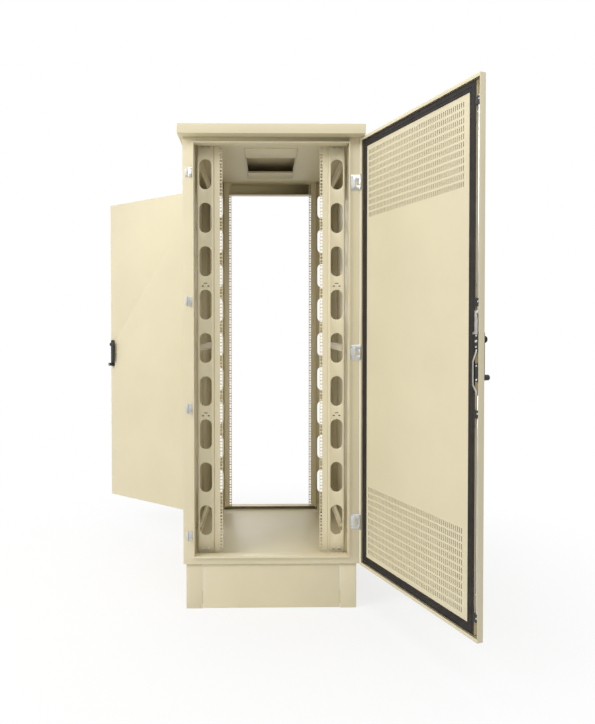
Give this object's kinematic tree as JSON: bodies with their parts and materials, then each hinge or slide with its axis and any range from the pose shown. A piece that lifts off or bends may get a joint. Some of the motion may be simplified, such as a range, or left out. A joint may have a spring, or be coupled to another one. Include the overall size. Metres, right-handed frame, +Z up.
{
  "type": "roadside utility cabinet",
  "caption": "Tall free-standing steel roadside cabinet with rack rails, slotted cable panels, a vented ceiling, a plinth, and front and rear doors that stand open.",
  "frame": {"origin": "centre of the plinth's footprint at ground level", "axes": "+Z up; the front door opening faces -Y; +X is the side that the front door is hinged on"},
  "size_m": [1.8079, 2.1304, 2.185],
  "materials": {
    "body_paint": "fine textured satin powder coat",
    "plinth_paint": "fine textured satin powder coat",
    "plated_steel": "bright zinc plate",
    "black_plastic": "matte moulded",
    "seal_foam": "soft foamed seal"
  },
  "bodies": {
    "cabinet": {"side_panel_right": "body_paint", "side_panel_left": "body_paint", "front_frame": "body_paint", "rear_frame": "body_paint", "floor_pan": "body_paint", "ceiling_plate": "body_paint", "ceiling_vent_tray": "body_paint", "roof_hood": "body_paint", "plinth_corner_posts": "plinth_paint", "plinth_front_panel": "plinth_paint", "plinth_rear_panel": "plinth_paint", "plinth_side_panels": "plinth_paint", "rack_rail_front_right": "body_paint", "rack_rail_front_left": "body_paint", "rack_rail_rear_right": "body_paint", "rack_rail_rear_left": "body_paint", "cable_panel_front_right": "body_paint", "cable_panel_front_left": "body_paint", "cable_panel_rear_right": "body_paint", "cable_panel_rear_left": "body_paint", "depth_members_right": "body_paint", "depth_members_left": "body_paint", "rack_brackets": "body_paint", "rack_screws": "plated_steel", "front_keepers": "plated_steel", "rear_keepers": "plated_steel", "hinge_frame_leaves": "plated_steel", "hinge_pins": "plated_steel"},
    "front_door": {"front_outer_skin": "body_paint", "front_inner_liner": "body_paint", "front_seal": "seal_foam", "front_hinge_leaves": "plated_steel", "front_rod_guides": "black_plastic", "front_gear_case": "black_plastic", "front_lower_lock_case": "black_plastic", "front_handle_base": "black_plastic", "front_lock_barrel": "black_plastic"},
    "front_handle": {"front_handle_hub": "black_plastic", "front_handle_lever": "black_plastic"},
    "front_rods": {"front_lower_rod": "plated_steel", "front_upper_rod": "plated_steel", "front_rod_rollers": "plated_steel", "front_drive_slide": "black_plastic", "front_drive_strips": "plated_steel"},
    "rear_door": {"rear_outer_skin": "body_paint", "rear_inner_liner": "body_paint", "rear_seal": "seal_foam", "rear_hinge_leaves": "plated_steel", "rear_rod_guides": "black_plastic", "rear_gear_case": "black_plastic", "rear_lower_lock_case": "black_plastic", "rear_handle_base": "black_plastic", "rear_lock_barrel": "black_plastic"},
    "rear_handle": {"rear_handle_hub": "black_plastic", "rear_handle_lever": "black_plastic"},
    "rear_rods": {"rear_lower_rod": "plated_steel", "rear_upper_rod": "plated_steel", "rear_rod_rollers": "plated_steel", "rear_drive_slide": "black_plastic", "rear_drive_strips": "plated_steel"}
  },
  "joints": [
    {"name": "front_door_swing", "type": "hinge", "parent": "cabinet", "child": "front_door", "pos_m": [0.399, -0.456, 1.17], "axis": [0, 0, 1], "range_deg": [-111.45, 8.55]},
    {"name": "front_handle_turn", "type": "hinge", "parent": "front_door", "child": "front_handle", "pos_m": [0.71329, -1.16841, 1.24], "axis": [0.9307, 0.3657, 0], "range_deg": [0, 90]},
    {"name": "front_rods_slide", "type": "slide", "parent": "front_door", "child": "front_rods", "axis": [0, 0, -1], "range_m": [0, 0.018]},
    {"name": "rear_door_swing", "type": "hinge", "parent": "cabinet", "child": "rear_door", "pos_m": [-0.399, 0.456, 1.17], "axis": [0, 0, 1], "range_deg": [-143.2, 6.8]},
    {"name": "rear_handle_turn", "type": "hinge", "parent": "rear_door", "child": "rear_handle", "pos_m": [-1.04114, 0.89642, 1.18], "axis": [-0.599, -0.8007, 0], "range_deg": [0, 90]},
    {"name": "rear_rods_slide", "type": "slide", "parent": "rear_door", "child": "rear_rods", "axis": [0, 0, -1], "range_m": [0, 0.018]}
  ],
  "couplings": [
    {"joint": "front_rods_slide", "follows": "front_handle_turn", "m_per_rad": 0.01145},
    {"joint": "rear_rods_slide", "follows": "rear_handle_turn", "m_per_rad": 0.01145}
  ]
}
